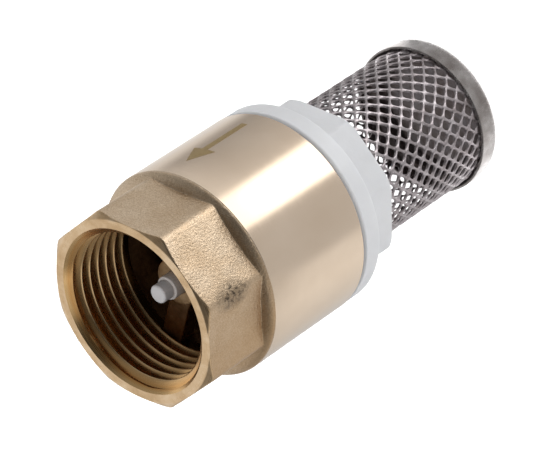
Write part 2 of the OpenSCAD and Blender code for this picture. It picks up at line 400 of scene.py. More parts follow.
def threaded_brass():
    """Cut thread: painted highlight on the crests, painted shade darkening the roots to orange-brown, and
    painted shade down in the bore.
    """
    m, tree, shader = new_material("threaded_brass")
    where = place(tree)
    marks = noise(tree, where, 4.0, 2.0, 0.6, stretch=(0.1, 0.1, 3.0))
    # Painted highlight and shade: crests painted bright, flanks and roots painted darker orange-brown.
    colour = ramp(tree, levels(tree, radius_of(tree, where), 12.0, 13.4),
                  [(0.0, (0.80, 0.60, 0.37)), (0.12, (0.62, 0.40, 0.19)), (0.75, (0.66, 0.36, 0.13)),
                   (1.0, (0.74, 0.48, 0.22))])
    # Painted shade: the thread is painted darker down in the bore.
    painted_depth_shade = levels(tree, height_of(tree, where), 59.9, 62.0, 1.0, 0.0)
    colour = blend_colours(tree, painted_depth_shade, colour, (0.16, 0.105, 0.05))
    coat(tree, shader, colour, levels(tree, marks, 0.3, 0.7, 0.2, 0.34))
    bump(tree, shader, [(marks, 0.003)])
    return m


def shaded_chamber_brass():
    """Brass inside the body, painted near-black brown as painted shade deep in the chamber."""
    m, tree, shader = new_material("shaded_chamber_brass")
    where = place(tree)
    cloud = noise(tree, where, 0.6, 3.0, 0.6)
    # Painted shade: near-black brown where the chamber lies in shade.
    coat(tree, shader, ramp(tree, cloud, [(0.3, (0.09, 0.045, 0.02)), (0.7, (0.19, 0.11, 0.055))]), 0.45)
    bump(tree, shader, [(noise(tree, where, 2.5, 3.0, 0.6), 0.05)])
    return m


def cast_brass():
    """The spider's rough-cast arms and hub, tan under a thin brown film."""
    m, tree, shader = new_material("cast_brass")
    where = place(tree)
    cloud = noise(tree, where, 0.5, 3.0, 0.6)
    coat(tree, shader, ramp(tree, cloud, [(0.3, (0.34, 0.21, 0.10)), (0.7, (0.58, 0.41, 0.24))]), 0.42)
    bump(tree, shader, [(noise(tree, where, 2.5, 3.0, 0.6), 0.05)])
    return m


def acetal():
    """Moulded white acetal: waxy, and painted tan down the stem as painted shade and brass-coloured light
    bounced from the bore.
    """
    m, tree, shader = new_material("white_acetal")
    where = place(tree)
    colour = ramp(tree, noise(tree, where, 0.4, 2.0), [(0.3, (0.44, 0.43, 0.43)), (0.7, (0.50, 0.49, 0.50))])
    tip = POPPET_HIGH.z / MM
    # Painted shade and bounced brass light: the stem below the tip is painted tan.
    painted_stem_shade = levels(tree, height_of(tree, where), tip - 3.6, tip - 1.4, 0.8, 0.0)
    coat(tree, shader, blend_colours(tree, painted_stem_shade, colour, (0.40, 0.315, 0.23)), 0.38, 0.0)
    shader.inputs["Subsurface Weight"].default_value = 0.15
    shader.inputs["Subsurface Radius"].default_value = (0.0012, 0.001, 0.0009)
    bump(tree, shader, [(noise(tree, where, 2.5, 2.0), 0.01)])
    return m


def nylon():
    """Natural nylon: bluish white, slightly translucent, faint flow marks from moulding."""
    m, tree, shader = new_material("natural_nylon")
    where = place(tree)
    colour = ramp(tree, noise(tree, where, 0.15, 2.0),
                  [(0.3, (0.58, 0.585, 0.60)), (0.7, (0.61, 0.615, 0.63))])
    coat(tree, shader, colour, levels(tree, noise(tree, where, 0.8, 3.0), 0.3, 0.7, 0.36, 0.46), 0.0)
    shader.inputs["Subsurface Weight"].default_value = 0.3
    shader.inputs["Subsurface Radius"].default_value = (0.002, 0.0022, 0.0025)
    bump(tree, shader, [(noise(tree, where, 0.5, 2.0), 0.05), (noise(tree, where, 4.0, 2.0), 0.006)])
    return m


def rubber():
    """Moulded black nitrile with a fine bloom."""
    m, tree, shader = new_material("black_rubber")
    where = place(tree)
    colour = ramp(tree, noise(tree, where, 1.2, 4.0),
                  [(0.3, (0.012, 0.012, 0.012)), (0.75, (0.035, 0.034, 0.033))])
    coat(tree, shader, colour, 0.6, 0.0)
    bump(tree, shader, [(noise(tree, where, 6.0, 2.0), 0.01)])
    return m


def wire_steel():
    """Drawn stainless wire."""
    m, tree, shader = new_material("spring_steel")
    where = place(tree)
    colour = ramp(tree, noise(tree, where, 1.0, 3.0), [(0.3, (0.42, 0.42, 0.42)), (0.7, (0.60, 0.60, 0.59))])
    coat(tree, shader, colour, 0.26)
    bump(tree, shader, [(noise(tree, where, 8.0, 2.0), 0.004)])
    return m


def mesh_steel():
    """Expanded stainless sheet: drawn strands in patches of brighter and browner grey."""
    m, tree, shader = new_material("stainless_mesh")
    where = place(tree)
    patch = noise(tree, where, 0.5, 4.0, 0.65)
    fleck = noise(tree, where, 3.2, 3.0, 0.6)
    colour = ramp(tree, patch, [(0.3, (0.29, 0.25, 0.25)), (0.55, (0.43, 0.39, 0.40)),
                                (0.75, (0.58, 0.54, 0.55))])
    coat(tree, shader, colour, levels(tree, fleck, 0.3, 0.7, 0.22, 0.42))
    bump(tree, shader, [(fleck, 0.03)])
    return m


def cap_steel():
    """Pressed stainless sheet: heat-tinted brownish grey in blotches, with light scuffs."""
    m, tree, shader = new_material("stainless_sheet")
    where = place(tree)
    blotch = noise(tree, where, 0.28, 4.0, 0.6)
    scuff = noise(tree, where, 2.2, 4.0, 0.65, stretch=(1.0, 1.0, 0.35))
    colour = ramp(tree, blotch, [(0.3, (0.205, 0.182, 0.172)), (0.5, (0.31, 0.288, 0.278)),
                                 (0.7, (0.45, 0.428, 0.424))])
    coat(tree, shader, colour, levels(tree, scuff, 0.3, 0.75, 0.2, 0.42))
    bump(tree, shader, [(scuff, 0.012), (blotch, 0.04)])
    return m


def cap_inside_painted_shade():
    """The cap's unpolished inside, painted darker than the outside as painted shade."""
    m, tree, shader = new_material("cap_inside_painted_shade")
    where = place(tree)
    blotch = noise(tree, where, 0.45, 4.0, 0.6)
    # Painted shade: a darker copy of the outside steel's colours.
    colour = ramp(tree, blotch, [(0.3, (0.14, 0.11, 0.10)), (0.5, (0.225, 0.195, 0.19)),
                                 (0.7, (0.29, 0.27, 0.28))])
    coat(tree, shader, colour, 0.42)
    bump(tree, shader, [(noise(tree, where, 2.0, 3.0), 0.03)])
    return m


def etched_mark():
    """Laser-darkened brass of a mark."""
    m, tree, shader = new_material("etched_mark")
    where = place(tree)
    dots = noise(tree, where, 7.0, 2.0)
    coat(tree, shader, ramp(tree, dots, [(0.3, (0.26, 0.18, 0.075)), (0.7, (0.40, 0.29, 0.14))]), 0.5, 0.7)
    bump(tree, shader, [(dots, 0.01)])
    return m


FORGED, TURNED, MACHINED = forged_brass(), turned_brass(), machined_brass()
THREADED, CHAMBER_SHADE, CAST = threaded_brass(), shaded_chamber_brass(), cast_brass()
ACETAL, NYLON, RUBBER = acetal(), nylon(), rubber()
WIRE, MESH_STEEL, CAP_STEEL = wire_steel(), mesh_steel(), cap_steel()
CAP_INSIDE_SHADE, ETCHED = cap_inside_painted_shade(), etched_mark()


# ---- Brass outlet body ----

COLUMNS = 280
THETA = np.linspace(0, TURN, COLUMNS + 1)
BODY_MATERIALS = [FORGED, TURNED, MACHINED, CHAMBER_SHADE, THREADED]
FORGED_SLOT, TURNED_SLOT, MACHINED_SLOT, CHAMBER_SHADE_SLOT, THREADED_SLOT = range(len(BODY_MATERIALS))

# Forged shoulder and turned barrel. Skins lie just inside the CAD body, so that the visual isn't wider.
SHOULDER_R = BARREL_R - 0.06 * MM
SHOULDER_W = 3.4 * MM
SHOULDER_H = 1.45 * MM
SHOULDER_FOOT_Z = NECK_Z - 0.12 * MM
CHAMFER_R = 15 * MM
CHAMFER_SLOPE = 0.58
CHAMFER_H = 2.5 * MM
CHAMFER_NORMAL_Z = 0.4
BARREL_SKIN_R = BARREL_R - 0.02 * MM
BARREL_EDGE = 0.3 * MM

# Inside: throat, chamber and pocket, from the outlet down
CHAMBER_R = 14.2 * MM
CHAMBER_LOW = BARREL_Z + 8.65 * MM
CHAMBER_HIGH = ARM_Z - 1.57 * MM
THROAT_LOW = ARM_Z - 0.5 * MM
POCKET_R = 15 * MM

# Female thread: where it ends, and the share of a turn at which it starts
THREAD_LOW = NECK_Z - 0.03 * MM
THREAD_START = 0.58
RUNOUT_H = 1.1 * MM
RUNOUT_FADE = 0.5 * MM

# Thread form: root and flank as shares of half a pitch, and the rounding as a share of the depth
ROOT_SHARE = 0.22
FLANK_SHARE = 0.68
THREAD_ROUNDING = 0.09

# Spider
ARM_H = 3 * MM
ARM_HALF_W = 1.9 * MM
ARM_FILLET = 1.6 * MM
ARM_REACH = MAJOR_R + 0.25 * MM
ARM_DEGREES = (-45, 75, 195)
HUB_R = 3.8 * MM
HUB_FOOT_R = 3.6 * MM
HUB_FOOT_H = 1 * MM
HUB_BORE_R = 1.97 * MM


def waves(angle, z, seed, size, height):
    """Smooth random waviness that closes round the axis, from a few seeded sine waves."""
    count, most_turns = 14, 26
    rng = np.random.default_rng(seed)
    total = np.zeros_like(angle)
    for _ in range(count):
        turns = rng.integers(-most_turns, most_turns + 1)
        climb = rng.uniform(-1, 1) * TURN / size
        total += np.sin(turns * angle + climb * z + rng.uniform(0, TURN))
    return total * height / math.sqrt(count)


def thread_depth(angle, z, start=0.0):
    """Thread form from 0 at the root to 1 at the crest, with rounded corners."""
    phase = (z / PITCH - start - angle / TURN) % 1.0
    rise = np.abs(phase - 0.5) * 2
    flank = (rise - ROOT_SHARE) / FLANK_SHARE
    lifted = soft_max(flank, np.zeros_like(flank), THREAD_ROUNDING)
    return np.clip(soft_min(lifted, np.ones_like(flank), THREAD_ROUNDING), 0, 1)


def threaded_rows(z_from, z_to, radius_at, per_pitch=18):
    """Rows that climb with the thread between two heights, from the first to the second."""
    step = PITCH / per_pitch
    low, high = min(z_from, z_to), max(z_from, z_to)
    count = int(math.ceil((high - low + PITCH) / step)) + 1
    starts = [low - PITCH + step * k for k in range(count + 1)]
    if z_from > z_to:
        starts.reverse()
    rows = []
    for start in starts:
        z = np.clip(start + PITCH * THETA / TURN, low, high)
        rows.append((radius_at(THETA, z), z))
    return rows


def ring_row(r, z):
    """One plain round row."""
    return np.full_like(THETA, r), np.full_like(THETA, z)


def grid_piece(name, bands, materials, smooth_angle=32):
    """A closed turned surface from bands of rows. Each band is (rows, material slot)."""
    rows = [row for band, _ in bands for row in band]
    slots = [slot for band, slot in bands for _ in band]
    radii = np.array([r for r, _ in rows])
    heights = np.array([z for _, z in rows])
    verts = np.stack([radii * np.cos(THETA), radii * np.sin(THETA), heights], axis=2).reshape(-1, 3)
    wide = COLUMNS + 1
    faces, face_slots = [], []
    for k in range(len(rows)):
        after = (k + 1) % len(rows)
        for j in range(COLUMNS):
            faces.append((k * wide + j, k * wide + j + 1, after * wide + j + 1, after * wide + j))
            face_slots.append(slots[after])
    return new_object(name, verts, faces, materials, face_slots, smooth_angle)


def neck_radius(angle, z):
    """The forged octagon, with its turned front chamfer and its shoulder."""
    octagon = octagon_radius(angle, OCTAGON_AF, 0.5 * MM)
    octagon = octagon + waves(angle, z, seed=3, size=4 * MM, height=0.02 * MM)
    cone = CHAMFER_R + (FACE_Z - z) / CHAMFER_SLOPE
    level = np.clip((z - SHOULDER_FOOT_Z) / SHOULDER_H, 0, 1)
    shoulder = SHOULDER_R - SHOULDER_W * (1 - np.sqrt(1 - level ** 2))
    return soft_max(soft_min(octagon, cone, 0.22 * MM), shoulder, 0.3 * MM)


def bore_radius(angle, z):
    """The female thread with its countersunk mouth and the run-out groove under it."""
    thread = MAJOR_R - (MAJOR_R - MINOR_R) * thread_depth(angle, z, THREAD_START)
    groove = np.clip((THREAD_LOW + RUNOUT_H - z) / RUNOUT_FADE, 0, 1)
    thread = thread * (1 - groove) + MAJOR_R * groove
    countersink = MOUTH_R - (FACE_Z - z)
    return np.maximum(thread, countersink)


def outlet_shell():
    """Neck, barrel, thread, throat, chamber and pocket in one closed surface."""
    # The neck's rows lie closer where it bends: along the front chamfer and down the shoulder.
    neck = []
    for z in np.concatenate([np.linspace(FACE_Z, FACE_Z - 1.2 * MM, 14),
                             np.linspace(FACE_Z - 1.4 * MM, NECK_Z + 1.7 * MM, 44),
                             np.linspace(NECK_Z + 1.62 * MM, NECK_Z, 30)]):
        height = np.full_like(THETA, z)
        neck.append((neck_radius(THETA, height), height))
    barrel = [ring_row(r, z) for r, z in rounded(
        [(SHOULDER_R, NECK_Z - 0.01 * MM), (BARREL_SKIN_R, NECK_Z - 0.07 * MM),
         (BARREL_SKIN_R, BARREL_Z + BARREL_EDGE), (BARREL_SKIN_R - BARREL_EDGE, BARREL_Z)],
        {1: 0.05 * MM, 2: 0.25 * MM})]
    inside = [ring_row(r, z) for r, z in [
        (POCKET_R + BARREL_EDGE, BARREL_Z), (POCKET_R, BARREL_Z + BARREL_EDGE), (POCKET_R, CHAMBER_LOW),
        (CHAMBER_R, CHAMBER_LOW), (CHAMBER_R, CHAMBER_HIGH), (MINOR_R, THROAT_LOW), (MINOR_R, THREAD_LOW)]]
    thread = threaded_rows(THREAD_LOW, FACE_Z, bore_radius)
    face = [ring_row(r, FACE_Z) for r in (MOUTH_R, MOUTH_R + 0.06 * MM, CHAMFER_R - 0.1 * MM)]
    bands = [(neck, FORGED_SLOT), (barrel, TURNED_SLOT), (inside, CHAMBER_SHADE_SLOT), (thread, THREADED_SLOT),
             (face, MACHINED_SLOT)]
    shell = grid_piece("outlet_shell", bands, BODY_MATERIALS, 34)
    machine_chamfer(shell)
    return shell


def machine_chamfer(shell):
    """Gives the turned front chamfer, cut from the forged flats, the machined brass."""
    for polygon in shell.data.polygons:
        high = polygon.center.z > FACE_Z - CHAMFER_H
        if polygon.material_index == FORGED_SLOT and high and polygon.normal.z > CHAMFER_NORMAL_Z:
            polygon.material_index = MACHINED_SLOT


def arm_outline(half_width, hub_r, wall_r, fillet):
    """Half outline of one spider arm, flared in an arc where it meets the hub and the wall."""
    points = []
    for r in np.linspace(hub_r * 0.5, wall_r, 26):
        near_hub = max(0.0, 1 - (r - hub_r) / fillet)
        near_wall = max(0.0, 1 - (wall_r - r) / fillet)
        flare = fillet * 0.6 * (min(near_hub, 1.0) ** 2 + near_wall ** 2)
        points.append((r, half_width + flare))
    return points


def prism(name, outline, low, high, materials, turn=0.0):
    """An upright prism over a closed outline, turned about Z."""
    c, s = math.cos(turn), math.sin(turn)
    plan = [(x * c - y * s, x * s + y * c) for x, y in outline]
    n = len(plan)
    verts = [(x, y, low) for x, y in plan] + [(x, y, high) for x, y in plan]
    faces = [tuple(range(n))[::-1], tuple(range(n, 2 * n))]
    faces += [(k, (k + 1) % n, n + (k + 1) % n, n + k) for k in range(n)]
    return new_object(name, verts, faces, materials)


def apply_modifiers(obj):
    """Turns the modifiers' result into the object's own mesh."""
    graph = bpy.context.evaluated_depsgraph_get()
    mesh = bpy.data.meshes.new_from_object(obj.evaluated_get(graph))
    obj.modifiers.clear()
    obj.data = mesh


def spider():
    """Three cast arms and the guide hub, blended together as one casting with a reamed bore."""
    foot = ARM_Z - HUB_FOOT_H
    hub = lathe("hub", [(HUB_BORE_R, foot), (HUB_FOOT_R, foot), (HUB_R, ARM_Z), (HUB_R, HUB_TOP_Z),
                        (HUB_BORE_R, HUB_TOP_Z)], {}, [CAST], 96)
    half = arm_outline(ARM_HALF_W, HUB_FOOT_R, ARM_REACH, ARM_FILLET)
    outline = [(x, -y) for x, y in half] + [(x, y) for x, y in reversed(half)]
    arms = [prism("arm", outline, ARM_Z, ARM_Z + ARM_H, [CAST], math.radians(a)) for a in ARM_DEGREES]
    whole = join_pieces("spider", [hub] + arms)
    remesh = whole.modifiers.new("blend", "REMESH")
    remesh.mode = "VOXEL"
    remesh.voxel_size = 0.17 * MM
    apply_modifiers(whole)
    smooth = whole.modifiers.new("soften", "SMOOTH")
    smooth.iterations = 4
    smooth.factor = 0.6
    apply_modifiers(whole)
    ream(whole, HUB_BORE_R, reach=0.175 * MM)
    shade(whole, 40)
    return whole


def ream(obj, radius, reach):
    """Trues the bore: points near it go back to its radius. The reach is how near, past the bore."""
    for v in obj.data.vertices:
        r = math.hypot(v.co.x, v.co.y)
        if 0 < r < radius + reach:
            v.co.x *= radius / r
            v.co.y *= radius / r


def outlet_body():
    """The brass body: forged neck, turned barrel, threads and the cast spider."""
    body = join_pieces("outlet_body_brass", [outlet_shell(), spider()])
    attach(body, "valve")
    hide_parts("outlet_body")


# ---- Flow arrow ----

def flow_arrow():
    """A plain arrow etched along the barrel, pointing to the outlet."""
    centre = math.radians(-79)
    low, high = BARREL_Z + 3.5 * MM, NECK_Z - 4 * MM
    head_low, shaft_half, head_half = high - 4.2 * MM, 0.55 * MM, 2.1 * MM
    rows = [(z, shaft_half) for z in np.linspace(low, head_low, 12)]
    rows += [(z, head_half * (high - z) / (high - head_low)) for z in np.linspace(head_low, high, 9)]
    across = np.linspace(-1, 1, 9)
    verts, faces = [], []
    for r in (BARREL_R - 0.005 * MM, BARREL_R - 0.06 * MM):
        for z, half in rows:
            for t in across:
                angle = centre + t * half / BARREL_R
                verts.append((r * math.cos(angle), r * math.sin(angle), z))
    wide, layer = len(across), len(across) * len(rows)
    for base in (0, layer):
        for k in range(len(rows) - 1):
            for j in range(wide - 1):
                a = base + k * wide + j
                faces.append((a, a + 1, a + wide + 1, a + wide))
    rim = list(range(wide)) + [k * wide + wide - 1 for k in range(1, len(rows))]
    rim += [(len(rows) - 1) * wide + j for j in reversed(range(wide - 1))]
    rim += [k * wide for k in reversed(range(1, len(rows) - 1))]
    for a, b in zip(rim, rim[1:] + rim[:1]):
        faces.append((a, b, b + layer, a + layer))
    arrow = new_object("flow_arrow", verts, faces, [ETCHED])
    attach(arrow, "valve")


# ---- Poppet, seal, retainer and spring ----

def poppet():
    """Acetal poppet: disc with a spring pocket, guide stem and necked tip."""
    stem_r, tip_r, disc_r = 1.9 * MM, 1.5 * MM, 10.6 * MM
    disc_low = SEAT_Z + 1.1 * MM
    disc_high = disc_low + 2 * MM
    boss_r, pocket_r, pocket_floor = 2.9 * MM, 5.9 * MM, disc_low + 0.8 * MM
    tip_low = POPPET_HIGH.z - 2.1 * MM
    profile = [(0, POPPET_LOW.z), (boss_r, POPPET_LOW.z), (boss_r, disc_low), (disc_r, disc_low),
               (disc_r, disc_high), (pocket_r, disc_high), (pocket_r, pocket_floor),
               (stem_r, pocket_floor), (stem_r, tip_low), (tip_r, tip_low), (tip_r, POPPET_HIGH.z),
               (0, POPPET_HIGH.z)]
    radii = {1: 0.3 * MM, 3: 0.15 * MM, 4: 0.4 * MM, 5: 0.2 * MM, 6: 0.15 * MM, 7: 0.25 * MM,
             8: 0.25 * MM, 9: 0.1 * MM, 10: 0.35 * MM}
    obj = lathe("poppet_acetal", profile, radii, [ACETAL], 128, 40, closed=False)
    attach(obj, "poppet_group")
    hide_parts("poppet")


def poppet_seal():
    """Flat rubber ring with slightly rounded edges."""
    low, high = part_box("poppet_seal")
    inner = 2.95 * MM
    obj = lathe("poppet_seal_rubber", [(inner, low.z), (high.x, low.z), (high.x, high.z), (inner, high.z)],
                {1: 0.2 * MM, 2: 0.3 * MM}, [RUBBER], 128, 40)
    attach(obj, "poppet_group")
    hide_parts("poppet_seal")


def spring():
    """Drawn wire wound into four and a half turns with closed ends."""
    wire_r, mean_r, turns, dead = 0.225 * MM, 4.6 * MM, 4.5, 0.75
    low, high = SPRING_LOW.z + wire_r, SPRING_HIGH.z - wire_r
    # A dead turn lies on its neighbour, so it climbs by the wire's thickness.
    rise = dead * 2 * wire_r / (high - low)
    steps, sides = 360, 14
    verts, faces = [], []
    for k in range(steps + 1):
        turn = turns * k / steps
        climb = min(1.0, max(0.0, (turn - dead) / (turns - 2 * dead)))
        climb = climb * climb * (3 - 2 * climb) * 0.25 + climb * 0.75
        first, last = min(turn, dead) / dead, max(0.0, turn - turns + dead) / dead
        coil = first * rise + climb * (1 - 2 * rise) + last * rise
        angle = TURN * turn
        out = Vector((math.cos(angle), math.sin(angle), 0))
        centre = out * mean_r + Vector((0, 0, low + (high - low) * coil))
        for j in range(sides):
            t = TURN * j / sides
            verts.append(centre + out * (wire_r * math.cos(t)) + Vector((0, 0, wire_r * math.sin(t))))
    for k in range(steps):
        for j in range(sides):
            a, b = k * sides + j, k * sides + (j + 1) % sides
            faces.append((a, b, b + sides, a + sides))
    faces.append(tuple(range(sides)))
    faces.append(tuple(range(steps * sides, (steps + 1) * sides)))
    obj = new_object("return_spring_wire", verts, faces, [WIRE], None, 50)
    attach(obj, "valve")
    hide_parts("return_spring")
    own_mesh(obj)


# ---- Strainer ----

def collar_octagon(angle, z):
    """The collar's wrench flats, their lower corners turned off in a cone."""
    flats = octagon_radius(angle, COLLAR_AF, 0.2 * MM)
    cone = COLLAR_AF / 2 + 0.5 * MM + (z - COLLAR_LOW.z) * 0.8
    return soft_min(flats, cone, 0.2 * MM)


def collar():
    """Nylon collar: male thread, flange, wrench octagon and the socket that holds the mesh."""
    flange_low, flange_high = COLLAR_LOW.z + 7.05 * MM, BARREL_Z - 0.02 * MM
    flange_r, under_flange_r, bore_r = COLLAR_HIGH.x, 14.6 * MM, 10 * MM
    socket_r, socket_top = 12.15 * MM, COLLAR_LOW.z + 8.15 * MM
    bevel, socket_bevel = 0.6 * MM, 0.35 * MM
    thread_low, thread_high = BARREL_Z + 1.3 * MM, COLLAR_HIGH.z - bevel
    root_r, crest_r, runout = 11.96 * MM, 13.1 * MM, 0.8 * MM

    def male(angle, z):
        """The male thread, which fades out at both ends."""
        fade = np.clip((thread_high - z) / runout, 0, 1) * np.clip((z - thread_low) / runout, 0, 1)
        return root_r + (crest_r - root_r) * (1 - thread_depth(angle, z)) * fade

    outside = [ring_row(bore_r, COLLAR_HIGH.z), ring_row(root_r - bevel, COLLAR_HIGH.z),
               ring_row(root_r, COLLAR_HIGH.z - bevel)]
    thread = threaded_rows(thread_high, thread_low, male, 14)
    flange = [ring_row(r, z) for r, z in rounded(
        [(root_r, thread_low), (root_r, flange_high), (flange_r - bevel, flange_high),
         (flange_r, flange_high - bevel), (flange_r, flange_low), (under_flange_r, flange_low)],
        {1: 0.15 * MM, 2: 0.3 * MM, 3: 0.4 * MM, 4: 0.35 * MM})][1:-1]
    flats = []
    for z in np.linspace(flange_low, COLLAR_LOW.z + 0.25 * MM, 40):
        height = np.full_like(THETA, z)
        fillet = 0.35 * MM * math.exp(-(flange_low - z) / (0.25 * MM))
        flats.append((collar_octagon(THETA, height) + fillet, height))
    foot = np.full_like(THETA, COLLAR_LOW.z)
    end = [(collar_octagon(THETA, foot) - 0.28 * MM, foot)]
    inside = [ring_row(r, z) for r, z in rounded(
        [(socket_r + socket_bevel, COLLAR_LOW.z), (socket_r, COLLAR_LOW.z + socket_bevel),
         (socket_r, socket_top), (bore_r, socket_top)], {1: 0.2 * MM})]
    bands = [(rows, 0) for rows in (outside, thread, flange, flats, end, inside)]
    obj = grid_piece("strainer_collar_nylon", bands, [NYLON], 38)
    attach(obj, "valve")
    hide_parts("strainer_collar")


def strainer_mesh():
    """Expanded sheet rolled into a sleeve: rounded strands round diamond holes, tilted by the slitting."""
    around, cell_h, side_steps = 30, 2.83 * MM, 4
    sheet_t, tilt, strand = 0.34 * MM, 0.24 * MM, 0.64 * MM
    sleeve_wall = 0.8 * MM
    middle_r = MESH_HIGH.x - sleeve_wall / 2
    low, high = MESH_LOW.z + 0.1 * MM, MESH_HIGH.z - 0.1 * MM
    half_w, half_h = middle_r * TURN / around / 2, cell_h / 2
    rows = int((high - low) / half_h) - 1
    start = (low + high) / 2 - (rows - 1) * half_h / 2
    corners = [(half_w, 0), (0, half_h), (-half_w, 0), (0, -half_h)]
    border = np.array([np.array(a) + (np.array(b) - np.array(a)) * k / side_steps
                       for a, b in zip(corners, corners[1:] + corners[:1]) for k in range(side_steps)])
    shrink = 1 - strand / 2 * math.hypot(half_w, half_h) / (half_w * half_h)
    # The hole is a diamond with bulged sides, and it never comes nearer than this share to the border.
    bulge, widest = 1.5, 0.93
    reach = ((np.abs(border[:, 0]) / (half_w * shrink)) ** bulge
             + (np.abs(border[:, 1]) / (half_h * shrink)) ** bulge) ** (-1 / bulge)
    hole = border * np.minimum(reach, widest)[:, None]
    # Shares of the way from the border to the hole at which the strand's round section has a point
    shares = [0, 0.45, 0.8, 1]
    n = len(border)
    lean = hole[:, 1] / half_h
    cell_verts, cell_faces = [], []
    for side in (1, -1):
        for share in shares:
            spot = border * (1 - share) + hole * share
            lift = side * sheet_t / 2 * math.sqrt(1 - share ** 3) + tilt * lean * share
            cell_verts.append(np.column_stack([spot, lift]))
    cell_verts = np.array(cell_verts)
    rings = len(shares)
    for k in range(n):
        j = (k + 1) % n
        for ring in range(rings - 1):
            a, b = ring * n, (ring + 1) * n
            cell_faces.append((a + k, a + j, b + j, b + k))
            a, b = (rings + ring) * n, (rings + ring + 1) * n
            cell_faces.append((a + j, a + k, b + k, b + j))
    flat = cell_verts.reshape(-1, 3)
    # The first row's lower sides and the last row's upper sides have no neighbour, so they are closed there.
    open_edges = {0: range(2 * side_steps, 4 * side_steps), rows - 1: range(2 * side_steps)}
    verts, faces = [], []
    for row in range(rows):
        for i in range(around):
            middle = (i + (row % 2) / 2) * TURN / around
            z = start + row * half_h
            base = len(verts)
            for x, y, lift in flat:
                angle, r = middle + x / middle_r, middle_r + lift
                verts.append((r * math.cos(angle), r * math.sin(angle), z + y))
            faces += [tuple(base + v for v in f) for f in cell_faces]
            for k in open_edges.get(row, []):
                j = (k + 1) % n
                faces.append((base + k, base + j, base + rings * n + j, base + rings * n + k))
    obj = new_object("strainer_mesh_steel", verts, faces, [MESH_STEEL], None, 50)
    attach(obj, "valve")
    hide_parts("strainer_mesh")


def cap():
    """Pressed steel cap with a rounded edge and lip, and a shallow dish in its floor."""
    r, top, sheet = CAP_HIGH.x, CAP_HIGH.z, 0.45 * MM
    dish, dish_r, foot_r = 0.3 * MM, r - 4 * MM, r - 3.2 * MM
    profile = [(0, dish), (dish_r, dish), (foot_r, 0), (r, 0), (r, top), (r - sheet, top), (r - sheet, sheet),
               (foot_r, sheet), (dish_r, dish + sheet), (0, dish + sheet)]
    radii = {1: 0.6 * MM, 2: 0.6 * MM, 3: 2.3 * MM, 4: 0.2 * MM, 5: 0.2 * MM, 6: 1.85 * MM, 7: 0.5 * MM,
             8: 0.5 * MM}

    def side_of(point):
        """1 on the inside of the sheet and 0 on the outside."""
        return 1 if point[1] > sheet * 0.9 and point[0] < r - sheet * 0.9 else 0

    obj = lathe("strainer_cap_steel", profile, radii, [CAP_STEEL, CAP_INSIDE_SHADE], 256, 40, False, side_of)
    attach(obj, "valve")
    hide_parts("strainer_cap")


def dress_carried_nodes():
    """Materials of the CAD nodes that stay: the brass seat ring and the acetal retainer."""
    for name, material in (("seat_body", MACHINED), ("seal_retainer", ACETAL)):
        obj = bpy.data.objects[name]
        obj.data.materials.clear()
        obj.data.materials.append(material)


outlet_body()
flow_arrow()
poppet()
poppet_seal()
spring()
collar()
strainer_mesh()
cap()
dress_carried_nodes()


# ---- Floor, light and camera ----

# Glow of each ring on the floor by direction from the valve: (degrees, strength)
CARD_GLOW = [(-180, 0.63), (-132.5, 0.63), (-128.5, 2.7), (-98, 2.7), (-91, 0.76), (-60, 0.58),
             (-24, 0.40), (-10, 0.84), (20, 0.92), (50, 0.64), (86, 0.66), (110, 0.82), (141, 1.0),
             (166, 0.92), (175, 0.63)]
CAP_GLOW = [(-180, 1.2), (-164, 0.95), (-148, 0.8), (-100, 0.72), (-84, 0.7), (-68, 0.7), (-52, 2.6),
            (-30, 2.0), (90, 1.0), (130, 1.8), (150, 2.2), (165, 1.5)]
MESH_GLOW = [(-180, 0.75), (-134, 0.75), (-126, 1.05), (-98, 1.05), (-88, 0.75), (-20, 0.6), (20, 0.9),
             (90, 0.75), (141, 0.9)]
FAR_GLOW = [(-180, 0.63), (-132.5, 0.63), (-128.5, 2.1), (-98, 2.1), (-90, 0.9), (-60, 0.8), (-20, 0.7),
            (20, 0.9), (90, 0.6), (110, 0.72), (141, 0.85), (170, 0.7)]

# Outer radius of each ring, from the cap outwards
CAP_RING_R = 0.02
MESH_RING_R = 0.036
CARD_RING_R = 0.088
FAR_RING_R = 0.35

# Directions in the surround: its white side, a bright patch, and a dark patch on the white side
BACKDROP_SIDE = (0.2, 0.9, -0.38)
LEFT_SIDE = (-0.8, 0.24, 0.55)
SHADED_SIDE = (-0.2, 0.92, 0.33)

FLOOR_HALF = 1.5
FLOOR_Z = -0.1 * MM
VALVE_MIDDLE = (0, 0, 0.04)
CAMERA_AIM = (-0.744 * MM, 0.754 * MM, 40.646 * MM)


def floor_material():
    """A plain pale floor that is clear from underneath, so that the cap's bottom can be seen."""
    m, tree, shader = new_material("pale_floor")
    shader.inputs["Base Color"].default_value = (0.86, 0.86, 0.86, 1)
    shader.inputs["Roughness"].default_value = 0.8
    under = node(tree, "ShaderNodeNewGeometry").outputs["Backfacing"]
    clear = node(tree, "ShaderNodeBsdfTransparent").outputs[0]
    mixed = node(tree, "ShaderNodeMixShader", {0: under, 1: shader.outputs[0], 2: clear}).outputs[0]
    tree.links.new(mixed, tree.nodes["Material Output"].inputs["Surface"])
    return m


def floor():
    """A plain pale floor under the cap."""
    corners = [(-1, -1), (1, -1), (1, 1), (-1, 1)]
    verts = [(x * FLOOR_HALF, y * FLOOR_HALF, FLOOR_Z) for x, y in corners]
    obj = new_object("floor", verts, [(0, 1, 2, 3)], [floor_material()])
    return obj


